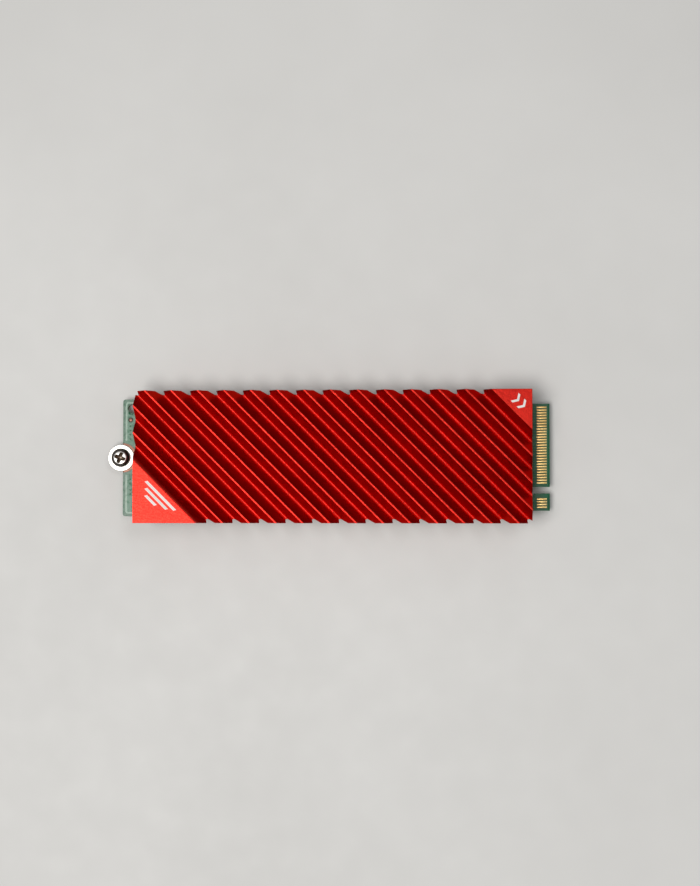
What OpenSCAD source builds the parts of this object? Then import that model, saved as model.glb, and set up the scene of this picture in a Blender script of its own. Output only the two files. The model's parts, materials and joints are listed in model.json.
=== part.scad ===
// Solid state drive on an 80 x 22 mm edge-connector card, under an anodised heatsink.
// Millimetres. X runs from the screw end to the edge connector, Y across the board, Z up.
// The origin is the bottom centre of the whole assembly's bounding box.

/* [Circuit board] */
// Length of the board, from the screw end to the tip of the edge connector
board_length = 80; // [80:0.5:84]
// Width of the board
board_width = 22; // [22:0.5:24]
// Thickness of the board
board_thickness = 0.8; // [0.7:0.05:1]
// Width of the edge connector's tongue
tongue_width = 19.85; // [19.85:0.05:20]
// Length of the edge connector's tongue
tongue_length = 4; // [3.5:0.1:4.5]
// Radius of the half-round screw notch in the short end
notch_radius = 1.75; // [1.7:0.05:2]

/* [Heatsink] */
// Length of the heatsink
heatsink_length = 73.5; // [72:0.5:74]
// Width across the top of the heatsink
heatsink_width = 24.5; // [23.5:0.5:25]
// Width across the bottom of the heatsink, where it meets the pad
heatsink_foot_width = 22; // [21:0.5:23]
// Height of the upright top part of the heatsink's sides
heatsink_side_height = 1.9; // [1.5:0.1:2.4]
// Height of the heatsink
heatsink_height = 5; // [4.5:0.1:6]
// Bare board left showing at the screw end
heatsink_setback = 3.2; // [3:0.1:3.5]
// Number of diagonal grooves
groove_count = 16; // [10:1:16]
// Distance from groove to groove, square to them
groove_pitch = 3.49; // [3.3:0.01:3.5]
// Depth of each groove
groove_depth = 2.6; // [1.5:0.1:3.2]
// Width of the flat crest between two grooves
crest_width = 0.3; // [0.2:0.05:0.6]
// Length of the corner left flat at the connector end, along the heatsink's edge
plain_corner = 7.2; // [5:0.1:10]

/* [Chip packages] */
// Height of the memory packages and the controller above the board
package_height = 1.35; // [1.2:0.05:1.45]
// Height of the solder balls
ball_height = 0.25; // [0.2:0.05:0.3]
// Thickness of the substrate under each package
substrate_thickness = 0.25; // [0.15:0.05:0.3]
// Thickness of the thermal pad
pad_thickness = 0.8; // [0.5:0.1:1.5]
// Thickness of the label on the underside
label_thickness = 0.1; // [0.05:0.05:0.2]

/* [Retaining screw] */
// Diameter of the captive washer
washer_diameter = 5; // [4.5:0.1:5.5]
// Thickness of the captive washer
washer_thickness = 0.3; // [0.2:0.05:0.4]
// Diameter of the screw head
head_diameter = 3.5; // [3.2:0.1:3.8]
// Height of the screw head
head_height = 1.3; // [1.1:0.1:1.5]
// Outside diameter of the thread
thread_diameter = 2; // [1.8:0.1:2.2]
// Length of the screw under its head
screw_length = 2.5; // [2.2:0.1:2.5]
// How far the screw's middle stands outside the board's end
screw_offset = 0.3; // [0:0.05:0.4]

/* [Hidden] */

$fn = 48;
overlap = 0.5; // how far a cutting shape runs past what it cuts

// Heights of the stack, from the table up
board_bottom = label_thickness + package_height;
board_top = board_bottom + board_thickness;
pad_bottom = board_top + package_height;
heatsink_bottom = pad_bottom + pad_thickness;
heatsink_top = heatsink_bottom + heatsink_height;

// The washer overhangs the screw end, so the board sits off centre by half the overhang
overhang = washer_diameter / 2 + screw_offset;
screw_end = (overhang - board_length) / 2;
connector_end = (overhang + board_length) / 2;
screw_middle = screw_end - screw_offset;
shoulder = connector_end - tongue_length;
foil = 0.04; // thickness of plated copper and of gold contacts

// Heatsink
heatsink_start = screw_end + heatsink_setback;
heatsink_middle = heatsink_start + heatsink_length / 2;
crest_bevel = 0.05;
groove_floor = 0.3;

// Edge connector: 0.5 mm pitch on each face, with the key's positions left out
contact_pitch = 0.5;
contact_width = 0.35;
contact_length = 1.85;
contact_setback = 0.55;
contact_span = 18.5;
key_offset = 6.125;
key_width = 1.2;
key_depth = 3.5;
edge_bevel = 0.25;

// Screw
land_radius = 2.75;
washer_bottom = board_top + foil;
head_bottom = washer_bottom + washer_thickness;
neck_radius = 0.82;
neck_length = washer_thickness + 0.1;
neck_clearance = 0.08;
recess_depth = 0.85;
recess_width = 0.52;

// Board features at the screw end
tooling_hole_radius = 0.9;
tooling_hole_inset = [1.85, 1.75];
fiducial_radius = 0.25;
fiducial_inset = [1.45, 3.85];
corner_radius = 0.5;

// Chip packages, as [length along X, width along Y], and where their middles lie from screw_end
nand_size = [14, 18];
dram_size = [8, 12];
controller_size = [16, 16];
dram_height = 1.1;
nand_at = [[11.5, 0], [27, 0], [18, 0], [45, 0]];
dram_at = [[40.5, 0], [31.5, 0]];
controller_at = [54.5, 0];
pad_size = [70, 20];
label_size = [42.5, 18.6];
label_at = [31.5, 0];

// Small parts, as [length, width, height], and where they lie from screw_end
power_manager_size = [5, 5, 0.85];
power_manager_at = [66.8, 5.4];
inductor_size = [4, 4, 1.2];
inductors_at = [[66.4, -0.6], [66.4, -5.4], [72.2, 5.6]];
load_switch_size = [1.6, 2.9, 1.0];
load_switch_at = [72.4, 0.6];
crystal_size = [2.5, 2.0, 0.6];
crystal_at = [40.5, -8.6];
flash_size = [3.9, 4.9, 1.25];
flash_at = [58.6, 5.8];
polymer_size = [3.5, 2.8, 1.2];
polymer_at = [[63.8, 7.6], [63.8, 2.6], [63.8, -2.4], [63.8, -7.4]];
chip_0402 = [1.0, 0.5, 0.5];
chip_0603 = [1.6, 0.8, 0.8];
thin_0402 = [1.0, 0.5, 0.35];

// A row of count places from one point, each a step further on
function row(start, step, count) = [for (i = [0 : count - 1]) start + i * step];
// One small part: where it lies, how far it is turned and its size
function parts(places, turn, size) = [for (p = places) [p, turn, size]];

capacitor_list_top = concat(
    parts(row([19.25, -8.75], [0, 2.5], 8), 90, chip_0402),
    parts(row([35.25, -8.75], [0, 2.5], 8), 90, chip_0402),
    parts(row([45.5, -7.7], [0, 2.2], 8), 90, chip_0402),
    parts(row([48.2, 9.3], [1.8, 0], 8), 90, chip_0402),
    parts(row([48.2, -9.3], [1.8, 0], 8), 90, chip_0402),
    parts(row([71.2, -3.2], [0, -1.4], 5), 0, chip_0603),
    parts(row([66.0, -9.2], [2.2, 0], 2), 0, chip_0603)
);
resistor_list_top = concat(
    parts(row([37.8, 8.2], [1.1, 0], 6), 90, thin_0402),
    parts(row([37.6, -7.4], [0, -1.1], 3), 0, thin_0402),
    parts(row([63.4, 8.9], [0, -1.1], 6), 0, thin_0402),
    parts(row([74.0, -3.0], [0, -0.9], 7), 0, thin_0402)
);
capacitor_list_bottom = concat(
    parts(row([26.1, -7.6], [0, 15.2], 2), 0, chip_0603),
    parts(row([28.6, 7.8], [1.0, 0], 6), 90, chip_0402),
    parts(row([28.6, -7.8], [1.0, 0], 6), 90, chip_0402),
    parts(row([55.0, 1.2], [1.3, 0], 4), 90, chip_0402),
    parts(row([67.6, 8.6], [0, -1.6], 6), 0, chip_0603),
    parts(row([74.0, 8.4], [0, -1.0], 10), 0, chip_0402)
);
resistor_list_bottom = concat(
    parts(row([8.6, 8.4], [0, -1.1], 5), 0, thin_0402),
    parts(row([8.6, -4.0], [0, -1.1], 5), 0, thin_0402),
    parts(row([54.4, -8.6], [0, 1.1], 7), 0, thin_0402),
    parts(row([56.6, -8.6], [0, 1.1], 7), 0, thin_0402),
    parts(row([71.4, 8.4], [0, -1.1], 6), 0, thin_0402)
);
test_pad_radius = 0.4;
test_pad_places = concat(
    row([70.0, -4.2], [0, -1.4], 5),
    row([72.0, -4.2], [0, -1.4], 5),
    row([5.6, 8.4], [0, -1.6], 3),
    row([5.6, -5.2], [0, -1.6], 3)
);

// ---------------------------------------------------------------- helpers

// Puts a part that is drawn standing on z = 0 on the board's top face
module on_top(at) {
    translate([screw_end + at[0], at[1], board_top]) children();
}

// The same on the underside, where the part hangs from the board
module on_bottom(at) {
    translate([screw_end + at[0], at[1], board_bottom]) mirror([0, 0, 1]) children();
}

module block(size) {
    translate([-size[0] / 2, -size[1] / 2, 0]) cube([size[0], size[1], size[2]]);
}

module rounded_square(size, radius) {
    square([size[0] - 2 * radius, size[1]], center = true);
    square([size[0], size[1] - 2 * radius], center = true);
    for (sx = [-1, 1], sy = [-1, 1])
        translate([sx * (size[0] / 2 - radius), sy * (size[1] / 2 - radius)]) circle(radius);
}

// A flat disc or ring of foil standing on z = 0
module foil_disc(radius) {
    cylinder(h = foil, r = radius);
}

// ---------------------------------------------------------------- circuit board

module board_outline() {
    difference() {
        union() {
            translate([(screw_end + shoulder) / 2, 0])
                rounded_square([shoulder - screw_end, board_width], corner_radius);
            translate([shoulder - overlap, -tongue_width / 2])
                square([tongue_length + overlap, tongue_width]);
        }
        translate([screw_end, 0]) circle(notch_radius);
        translate([connector_end - key_depth + key_width / 2, -key_offset]) {
            circle(key_width / 2);
            translate([0, -key_width / 2]) square([key_depth, key_width]);
        }
        translate([screw_end + tooling_hole_inset[0], board_width / 2 - tooling_hole_inset[1]])
            circle(tooling_hole_radius);
    }
}

// Wedge that bevels one long edge of the tongue's tip
module tip_bevel() {
    translate([connector_end, board_width / 2, 0]) rotate([90, 0, 0])
        linear_extrude(board_width)
            polygon([[-2 * edge_bevel, 0], [overlap, 0], [overlap, -edge_bevel], [0, -edge_bevel]]);
}

module circuit_board() {
    color("mediumseagreen") difference() {
        translate([0, 0, board_bottom]) linear_extrude(board_thickness) board_outline();
        translate([0, 0, board_top]) tip_bevel();
        translate([0, 0, board_bottom]) mirror([0, 0, 1]) tip_bevel();
    }
}

// Contacts of one face. first is the Y of the first one; the key leaves out those near it.
module edge_contacts(first, count) {
    for (i = [0 : count - 1]) {
        y = first - i * contact_pitch;
        if (abs(y + key_offset) > key_width)
            translate([connector_end - contact_setback - contact_length,
                       y - contact_width / 2, 0])
                cube([contact_length, contact_width, foil]);
    }
}

module edge_contacts_top() {
    color("gold") translate([0, 0, board_top]) edge_contacts(contact_span / 2, 38);
}

module edge_contacts_bottom() {
    color("gold") translate([0, 0, board_bottom - foil])
        edge_contacts(contact_span / 2 - contact_pitch / 2, 37);
}

// Half-round plated land round the screw notch
module screw_land() {
    linear_extrude(foil) intersection() {
        difference() {
            circle(land_radius);
            circle(notch_radius + 0.1);
        }
        translate([0, -land_radius]) square([land_radius, 2 * land_radius]);
    }
}

module screw_land_top() {
    color("sandybrown") on_top([0, 0]) screw_land();
}

module screw_land_bottom() {
    color("sandybrown") on_bottom([0, 0]) screw_land();
}

module fiducial_marks() {
    color("sandybrown") {
        on_top([fiducial_inset[0], board_width / 2 - fiducial_inset[1]]) foil_disc(fiducial_radius);
        on_bottom([fiducial_inset[0], fiducial_inset[1] - board_width / 2])
            foil_disc(fiducial_radius);
    }
}

module test_pads() {
    color("gold") for (p = test_pad_places) on_bottom(p) foil_disc(test_pad_radius);
}

// ---------------------------------------------------------------- chip packages

module mould(size, height) {
    body_bottom = ball_height + substrate_thickness;
    dimple = 0.5;
    difference() {
        translate([0, 0, body_bottom]) block([size[0], size[1], height - body_bottom]);
        translate([-size[0] / 2 + 1.2, size[1] / 2 - 1.2, height - 0.05])
            cylinder(h = overlap, r = dimple);
    }
}

module substrate(size) {
    translate([0, 0, ball_height]) block([size[0], size[1], substrate_thickness]);
}

// The outer rings of a package's solder balls, on a square grid
module balls(size, pitch, rings) {
    nx = floor((size[0] - pitch) / pitch);
    ny = floor((size[1] - pitch) / pitch);
    for (i = [0 : nx], j = [0 : ny])
        if (min(i, j, nx - i, ny - j) < rings)
            translate([(i - nx / 2) * pitch, (j - ny / 2) * pitch, 0])
                cylinder(h = ball_height, r = 0.24 * pitch);
}

module nand_mould(i) {
    color("dimgray")
        if (i < 2) on_top(nand_at[i]) mould(nand_size, package_height);
        else on_bottom(nand_at[i]) mould(nand_size, package_height);
}

module nand_substrate(i) {
    color("darkgreen")
        if (i < 2) on_top(nand_at[i]) substrate(nand_size);
        else on_bottom(nand_at[i]) substrate(nand_size);
}

module nand_balls(i) {
    color("silver")
        if (i < 2) on_top(nand_at[i]) balls(nand_size, 1, 2);
        else on_bottom(nand_at[i]) balls(nand_size, 1, 2);
}

module dram_mould(i) {
    color("dimgray")
        if (i < 1) on_top(dram_at[i]) mould(dram_size, dram_height);
        else on_bottom(dram_at[i]) mould(dram_size, dram_height);
}

module dram_substrate(i) {
    color("darkgreen")
        if (i < 1) on_top(dram_at[i]) substrate(dram_size);
        else on_bottom(dram_at[i]) substrate(dram_size);
}

module dram_balls(i) {
    color("silver")
        if (i < 1) on_top(dram_at[i]) balls(dram_size, 0.8, 2);
        else on_bottom(dram_at[i]) balls(dram_size, 0.8, 2);
}

module controller_mould() {
    color("dimgray") on_top(controller_at) mould(controller_size, package_height);
}

module controller_substrate() {
    color("darkgreen") on_top(controller_at) substrate(controller_size);
}

module controller_balls() {
    color("silver") on_top(controller_at) balls(controller_size, 0.8, 2);
}

// ---------------------------------------------------------------- small parts

// Ceramic or resistive body of a chip part, between its two end caps
module chip_body(size) {
    cap = size[0] * 0.22;
    translate([0, 0, foil]) block([size[0] - 2 * cap, size[1], size[2] - foil]);
}

// The two metal end caps of a chip part, standing on the board
module chip_caps(size) {
    cap = size[0] * 0.22;
    for (s = [-1, 1])
        translate([s * (size[0] - cap) / 2, 0, 0]) block([cap, size[1], size[2]]);
}

module chip_bodies(list, top) {
    for (p = list)
        if (top) on_top(p[0]) rotate(p[1]) chip_body(p[2]);
        else on_bottom(p[0]) rotate(p[1]) chip_body(p[2]);
}

module chip_terminals(list, top) {
    for (p = list)
        if (top) on_top(p[0]) rotate(p[1]) chip_caps(p[2]);
        else on_bottom(p[0]) rotate(p[1]) chip_caps(p[2]);
}

module capacitors_top() {
    color("peru") chip_bodies(capacitor_list_top, true);
}

module capacitor_terminals_top() {
    color("silver") chip_terminals(capacitor_list_top, true);
}

module capacitors_bottom() {
    color("peru") chip_bodies(capacitor_list_bottom, false);
}

module capacitor_terminals_bottom() {
    color("silver") chip_terminals(capacitor_list_bottom, false);
}

module resistors_top() {
    color("darkslategray") chip_bodies(resistor_list_top, true);
}

module resistor_terminals_top() {
    color("silver") chip_terminals(resistor_list_top, true);
}

module resistors_bottom() {
    color("darkslategray") chip_bodies(resistor_list_bottom, false);
}

module resistor_terminals_bottom() {
    color("silver") chip_terminals(resistor_list_bottom, false);
}

module power_manager() {
    size = power_manager_size;
    color("dimgray") on_top(power_manager_at) difference() {
        translate([0, 0, 0.05]) block([size[0], size[1], size[2] - 0.05]);
        translate([-size[0] / 2 + 0.6, size[1] / 2 - 0.6, size[2] - 0.05])
            cylinder(h = overlap, r = 0.25);
    }
}

// Flat pads of the leadless power manager, showing as a row of dashes along each side
module power_manager_pads() {
    side = power_manager_size[0] / 2;
    color("silver") on_top(power_manager_at)
        for (turn = [0 : 90 : 270], i = [-2 : 2])
            rotate(turn) translate([side - 0.3, i * 0.7, 0]) block([0.7, 0.3, 0.05]);
}

module load_switch() {
    color("dimgray") on_top(load_switch_at) translate([0, 0, 0.1])
        block([load_switch_size[0], load_switch_size[1], load_switch_size[2] - 0.1]);
}

// Bent lead of a small-outline package: a foot on the board and a shank into the body
module lead(width, reach, height) {
    translate([0, -width / 2, 0]) {
        cube([reach, width, 0.12]);
        cube([0.15, width, height]);
    }
}

module load_switch_leads() {
    color("silver") on_top(load_switch_at)
        for (turn = [0, 180], i = [-1 : 1])
            rotate(turn) translate([load_switch_size[0] / 2, i * 0.95, 0]) lead(0.4, 0.55, 0.5);
}

module firmware_flash() {
    color("dimgray") on_bottom(flash_at) translate([0, 0, 0.1]) difference() {
        block([flash_size[0], flash_size[1], flash_size[2] - 0.1]);
        translate([-flash_size[0] / 2 + 0.8, flash_size[1] / 2 - 0.8, flash_size[2] - 0.15])
            cylinder(h = overlap, r = 0.35);
    }
}

module firmware_flash_leads() {
    color("silver") on_bottom(flash_at)
        for (turn = [0, 180], i = [-1.5 : 1.5])
            rotate(turn) translate([flash_size[0] / 2, i * 1.27, 0]) lead(0.42, 1.0, 0.65);
}

module crystal_base() {
    color("wheat") on_top(crystal_at) block([crystal_size[0], crystal_size[1], 0.25]);
}

module crystal_can() {
    inset = 0.15;
    color("silver") on_top(crystal_at) translate([0, 0, 0.25])
        linear_extrude(crystal_size[2] - 0.25)
            rounded_square([crystal_size[0] - 2 * inset, crystal_size[1] - 2 * inset], 0.2);
}

module inductor_cores() {
    side = [inductor_size[0], inductor_size[1]];
    color("dimgray") for (p = inductors_at)
        on_top(p) translate([0, 0, 0.1])
            linear_extrude(inductor_size[2] - 0.1) rounded_square(side, 0.4);
}

module inductor_terminals() {
    color("silver") for (p = inductors_at, s = [-1, 1])
        on_top(p) translate([s * (inductor_size[0] / 2 - 0.5), 0, 0])
            block([1.2, inductor_size[1] * 0.8, 0.1]);
}

module polymer_capacitors() {
    color("dimgray") for (p = polymer_at)
        on_bottom(p) translate([0, 0, 0.1])
            block([polymer_size[0], polymer_size[1], polymer_size[2] - 0.1]);
}

module polymer_capacitor_terminals() {
    color("silver") for (p = polymer_at, s = [-1, 1])
        on_bottom(p) {
            translate([s * (polymer_size[0] / 2 - 0.35), 0, 0]) block([0.7, 2.2, 0.1]);
            translate([s * (polymer_size[0] / 2 + 0.05), 0, 0]) block([0.1, 2.2, 0.7]);
        }
}

// ---------------------------------------------------------------- cooling and label

// One groove's section, with its bevelled lips and flat floor, drawn about the groove's middle
module groove_section() {
    lip = (groove_pitch - crest_width) / 2;
    polygon([
        [-lip - overlap, overlap], [lip + overlap, overlap], [lip + overlap, 0],
        [lip + crest_bevel, 0], [lip, -crest_bevel],
        [groove_floor / 2, -groove_depth], [-groove_floor / 2, -groove_depth],
        [-lip, -crest_bevel], [-lip - crest_bevel, 0], [-lip - overlap, 0]
    ]);
}

// Grooves run diagonally, and count back from the plain corner at the connector end
module grooves() {
    cut_length = heatsink_width * 2;
    corner = [heatsink_start + heatsink_length, heatsink_width / 2];
    first = plain_corner / sqrt(2) + groove_pitch / 2;
    for (i = [0 : groove_count - 1])
        translate([corner[0], corner[1], heatsink_top]) rotate(45)
            translate([-first - i * groove_pitch, 0, 0]) rotate([90, 0, 0])
                translate([0, 0, -cut_length])
                    linear_extrude(2 * cut_length) groove_section();
}

// Below their upright top part the sides slant in at 45 degrees, down to the narrower foot
module heatsink_section() {
    foot = heatsink_foot_width / 2;
    top = heatsink_width / 2;
    upper = heatsink_height - heatsink_side_height;
    lower = upper - (top - foot);
    polygon([
        [-foot, 0], [foot, 0], [foot, lower], [top, upper],
        [top, heatsink_height], [-top, heatsink_height], [-top, upper], [-foot, lower]
    ]);
}

module heatsink() {
    color("red") difference() {
        translate([heatsink_start, 0, heatsink_bottom]) rotate([90, 0, 90])
            linear_extrude(heatsink_length) heatsink_section();
        grooves();
    }
}

module thermal_pad() {
    color("lightsteelblue") translate([heatsink_middle, 0, pad_bottom])
        block([pad_size[0], pad_size[1], pad_thickness]);
}

module rear_label() {
    color("whitesmoke") translate([screw_end + label_at[0], label_at[1], 0])
        linear_extrude(label_thickness) rounded_square(label_size, 0.8);
}

// ---------------------------------------------------------------- retaining screw

module captive_washer() {
    rim = washer_diameter / 2;
    bore = neck_radius + neck_clearance;
    bevel = 0.06;
    color("gainsboro") translate([screw_middle, 0, washer_bottom]) rotate_extrude() polygon([
        [bore, 0], [rim, 0], [rim, washer_thickness - bevel],
        [rim - bevel, washer_thickness], [bore, washer_thickness]
    ]);
}

// Half of the pan head's section: straight skirt, round shoulder and slightly domed top
module head_section() {
    radius = head_diameter / 2;
    round_over = 0.55;
    skirt = head_height - round_over;
    polygon(concat(
        [[0, 0], [radius, 0]],
        [for (a = [0 : 15 : 75])
            [radius - round_over * (1 - cos(a)), skirt - 0.08 + round_over * sin(a)]],
        [[0, head_height]]
    ));
}

// One wing of the cross recess, tapering towards its foot
module recess_wing() {
    reach = 1.02;
    foot = 0.5;
    translate([0, recess_width / 2, head_height - recess_depth]) rotate([90, 0, 0])
        linear_extrude(recess_width) polygon([
            [-foot, 0], [foot, 0],
            [reach, recess_depth + 0.01], [-reach, recess_depth + 0.01]
        ]);
}

module retaining_screw() {
    recess_turn = -20;
    tip = 0.18;
    radius = thread_diameter / 2;
    color("gainsboro") translate([screw_middle, 0, head_bottom]) difference() {
        union() {
            rotate_extrude() head_section();
            translate([0, 0, -neck_length]) cylinder(h = neck_length, r = neck_radius);
            translate([0, 0, tip - screw_length])
                cylinder(h = screw_length - neck_length - tip, r = radius);
            translate([0, 0, -screw_length]) cylinder(h = tip, r1 = radius - tip, r2 = radius);
        }
        for (turn = [0, 90]) rotate(recess_turn + turn) recess_wing();
    }
}

// ---------------------------------------------------------------- nodes

heatsink();
thermal_pad();
circuit_board();
edge_contacts_top();
edge_contacts_bottom();
screw_land_top();
screw_land_bottom();
fiducial_marks();
test_pads();
rear_label();
controller_mould();
controller_substrate();
controller_balls();
nand_mould(0);  // nand_1_mould
nand_substrate(0);  // nand_1_substrate
nand_balls(0);  // nand_1_balls
nand_mould(1);  // nand_2_mould
nand_substrate(1);  // nand_2_substrate
nand_balls(1);  // nand_2_balls
nand_mould(2);  // nand_3_mould
nand_substrate(2);  // nand_3_substrate
nand_balls(2);  // nand_3_balls
nand_mould(3);  // nand_4_mould
nand_substrate(3);  // nand_4_substrate
nand_balls(3);  // nand_4_balls
dram_mould(0);  // dram_1_mould
dram_substrate(0);  // dram_1_substrate
dram_balls(0);  // dram_1_balls
dram_mould(1);  // dram_2_mould
dram_substrate(1);  // dram_2_substrate
dram_balls(1);  // dram_2_balls
power_manager();
power_manager_pads();
load_switch();
load_switch_leads();
firmware_flash();
firmware_flash_leads();
crystal_can();
crystal_base();
inductor_cores();
inductor_terminals();
polymer_capacitors();
polymer_capacitor_terminals();
capacitors_top();
capacitor_terminals_top();
capacitors_bottom();
capacitor_terminals_bottom();
resistors_top();
resistor_terminals_top();
resistors_bottom();
resistor_terminals_bottom();
captive_washer();
retaining_screw();
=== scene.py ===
import json
import math
import random

import bmesh
import bpy
from mathutils import Matrix, Vector


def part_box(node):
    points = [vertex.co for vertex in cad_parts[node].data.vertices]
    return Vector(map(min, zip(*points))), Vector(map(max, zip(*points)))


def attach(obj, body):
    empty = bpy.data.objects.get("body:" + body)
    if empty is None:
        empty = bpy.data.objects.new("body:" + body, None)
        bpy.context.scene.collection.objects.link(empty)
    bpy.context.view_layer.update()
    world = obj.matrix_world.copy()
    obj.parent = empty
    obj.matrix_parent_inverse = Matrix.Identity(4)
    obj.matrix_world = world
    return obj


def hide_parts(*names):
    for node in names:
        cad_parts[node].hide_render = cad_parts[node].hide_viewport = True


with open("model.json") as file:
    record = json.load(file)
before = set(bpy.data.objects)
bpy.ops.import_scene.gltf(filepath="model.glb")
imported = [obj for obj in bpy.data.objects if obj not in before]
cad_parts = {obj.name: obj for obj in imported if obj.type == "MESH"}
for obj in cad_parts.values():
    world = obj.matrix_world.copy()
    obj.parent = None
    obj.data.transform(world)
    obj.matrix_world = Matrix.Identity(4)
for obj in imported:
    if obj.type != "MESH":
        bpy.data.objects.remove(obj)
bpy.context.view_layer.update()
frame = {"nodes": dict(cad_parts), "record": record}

MM = 0.001
nodes = frame["nodes"]
scene = bpy.context.scene
rng = random.Random(7)


# ------------------------------------------------------------------ materials

class Look:
    """A Principled material whose colour, roughness and relief come from procedural nodes."""

    def __init__(self, name, colour, roughness, **inputs):
        self.material = bpy.data.materials.new(name)
        self.material.use_nodes = True
        self.tree = self.material.node_tree
        self.shader = self.tree.nodes["Principled BSDF"]
        self.shader.inputs["Base Color"].default_value = (*colour, 1)
        self.shader.inputs["Roughness"].default_value = roughness
        for socket, value in inputs.items():
            self.shader.inputs[socket.replace("_", " ")].default_value = value
        self.place = self.node("ShaderNodeTexCoord").outputs["Object"]
        self.relief = None

    def node(self, kind, **settings):
        made = self.tree.nodes.new(kind)
        for key, value in settings.items():
            setattr(made, key, value)
        return made

    def feed(self, value, socket):
        """Links a socket, or sets a plain number or colour."""
        if isinstance(value, bpy.types.NodeSocket):
            self.tree.links.new(value, socket)
        else:
            socket.default_value = (*value, 1) if isinstance(value, tuple) else value

    def math(self, operation, a, b=0.0):
        made = self.node("ShaderNodeMath", operation=operation)
        self.feed(a, made.inputs[0])
        self.feed(b, made.inputs[1])
        return made.outputs[0]

    def noise(self, size, detail=2.0):
        """Cloudy pattern from 0 to 1 with features of about size, in mm."""
        made = self.node("ShaderNodeTexNoise")
        made.inputs["Scale"].default_value = 1 / (size * MM)
        made.inputs["Detail"].default_value = detail
        self.feed(self.place, made.inputs["Vector"])
        return made.outputs["Fac"]

    def waves(self, size, direction):
        """Bands from 0 to 1 across one direction, spaced by size, in mm."""
        made = self.node("ShaderNodeTexWave", bands_direction=direction)
        made.inputs["Scale"].default_value = 1 / (size * MM) / 3.1416
        self.feed(self.place, made.inputs["Vector"])
        return made.outputs["Fac"]

    def spread(self, value, low, high, start=0.3, end=0.7):
        """Maps a pattern's start to end onto low to high."""
        made = self.node("ShaderNodeMapRange")
        for socket, item in zip(made.inputs, (value, start, end, low, high)):
            self.feed(item, socket)
        return made.outputs[0]

    def blend(self, share, a, b):
        made = self.node("ShaderNodeMix", data_type="RGBA")
        self.feed(share, made.inputs[0])
        self.feed(a, made.inputs[6])
        self.feed(b, made.inputs[7])
        return made.outputs[2]

    def colour(self, share, a, b):
        self.feed(self.blend(share, a, b), self.shader.inputs["Base Color"])

    def rough(self, share, low, high):
        self.feed(self.spread(share, low, high), self.shader.inputs["Roughness"])

    def emboss(self, height, depth):
        """Relief of depth mm, added to the relief that is there."""
        made = self.node("ShaderNodeBump")
        made.inputs["Distance"].default_value = depth * MM
        made.inputs["Strength"].default_value = 1.0
        self.feed(height, made.inputs["Height"])
        if self.relief:
            self.feed(self.relief, made.inputs["Normal"])
        self.relief = made.outputs["Normal"]
        self.feed(self.relief, self.shader.inputs["Normal"])

    def facing_up(self, least=0.7):
        """1 where the normal is upright, up or down, by more than least; 0 elsewhere."""
        parts = self.node("ShaderNodeSeparateXYZ")
        self.feed(self.node("ShaderNodeNewGeometry").outputs["Normal"], parts.inputs[0])
        return self.math("GREATER_THAN", self.math("ABSOLUTE", parts.outputs["Z"]), least)

    def each(self):
        """A random number for each separate lump of the mesh."""
        return self.node("ShaderNodeNewGeometry").outputs["Random Per Island"]


def anodised_red():
    """Anodised aluminium: sandblasted where it is flat on top, cut smooth in the grooves."""
    look = Look("anodised_red", (0.42, 0.016, 0.010), 0.36, Metallic=1.0,
                Specular_Tint=(0.9, 0.2, 0.15, 1))
    grain = look.noise(0.26, 2.0)
    cloud = look.noise(7.0, 2.0)
    shade = look.math("ADD", look.math("MULTIPLY", grain, 0.75), look.math("MULTIPLY", cloud, 0.25))
    look.colour(look.spread(shade, 0, 1, 0.36, 0.64), (0.38, 0.014, 0.010), (0.48, 0.023, 0.015))
    look.rough(look.noise(0.5, 3.0), 0.28, 0.36)
    look.emboss(look.noise(0.14, 2.0), 0.004)
    look.emboss(look.noise(0.4, 1.0), 0.002)
    look.emboss(look.math("MULTIPLY", look.noise(0.34, 2.0), look.facing_up(0.995)), 0.030)
    return look.material


def solder_mask(name="solder_mask", low=(0.006, 0.085, 0.034), high=(0.010, 0.125, 0.052)):
    look = Look(name, high, 0.4)
    flat = look.facing_up()
    skin = look.blend(look.spread(look.noise(2.2, 3.0), 0, 1), low, high)
    plies = look.blend(look.waves(0.11, "Z"), (0.30, 0.27, 0.13), (0.16, 0.19, 0.08))
    look.colour(flat, plies, skin)
    look.feed(look.spread(look.math("MULTIPLY", flat, look.noise(0.8, 2.0)), 0.62, 0.29, 0.0, 0.5),
              look.shader.inputs["Roughness"])
    weave = look.math("ADD", look.waves(0.42, "X"), look.waves(0.42, "Y"))
    look.emboss(weave, 0.0012)
    look.emboss(look.noise(0.7, 2.0), 0.003)
    return look.material


def plated(name, dull, bright, rough, grain, depth, tarnish=1.5):
    """A metal with cloudy tarnish and a fine frosting."""
    look = Look(name, bright, rough[0], Metallic=1.0)
    look.colour(look.spread(look.noise(tarnish, 3.0), 0, 1), dull, bright)
    look.rough(look.noise(grain * 2.5, 2.0), *rough)
    look.emboss(look.noise(grain, 2.0), depth)
    return look.material


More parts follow.
